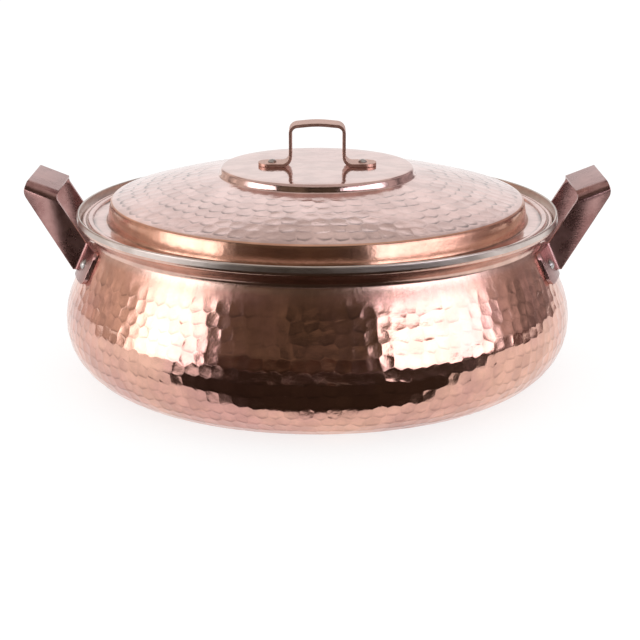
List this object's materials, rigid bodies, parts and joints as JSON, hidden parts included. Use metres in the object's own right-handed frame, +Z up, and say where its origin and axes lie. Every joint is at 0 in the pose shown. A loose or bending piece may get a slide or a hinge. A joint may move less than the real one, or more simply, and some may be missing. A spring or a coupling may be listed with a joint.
{
  "type": "lidded cooking pot",
  "caption": "Round bulging hammered copper cooking pot with a stepped lift-off lid, a bent strap handle on the lid and folded strap side handles.",
  "frame": {"origin": "centre of the flat base, on the surface that the pot stands on", "axes": "+X to one side handle and -X to the other, +Z up along the pot's axis"},
  "size_m": [0.3582, 0.3178, 0.1586],
  "materials": {
    "pan_copper": "hammered and polished copper",
    "lid_copper": "hammered and polished copper",
    "satin_copper": "satin copper",
    "dark_copper": "oxidised copper",
    "rivet": "dull tinned metal"
  },
  "bodies": {
    "pan": {"pan_body": "pan_copper", "left_handle": "dark_copper", "left_handle_front_rivet": "rivet", "left_handle_rear_rivet": "rivet", "right_handle": "dark_copper", "right_handle_front_rivet": "rivet", "right_handle_rear_rivet": "rivet"},
    "lid": {"lid_shell": "lid_copper", "lid_handle": "satin_copper", "lid_rivet_left": "rivet", "lid_rivet_right": "rivet"}
  },
  "joints": [
    {"name": "lid_lift", "type": "slide", "parent": "pan", "child": "lid", "axis": [0, 0, 1], "range_m": [0, 0.15]}
  ]
}
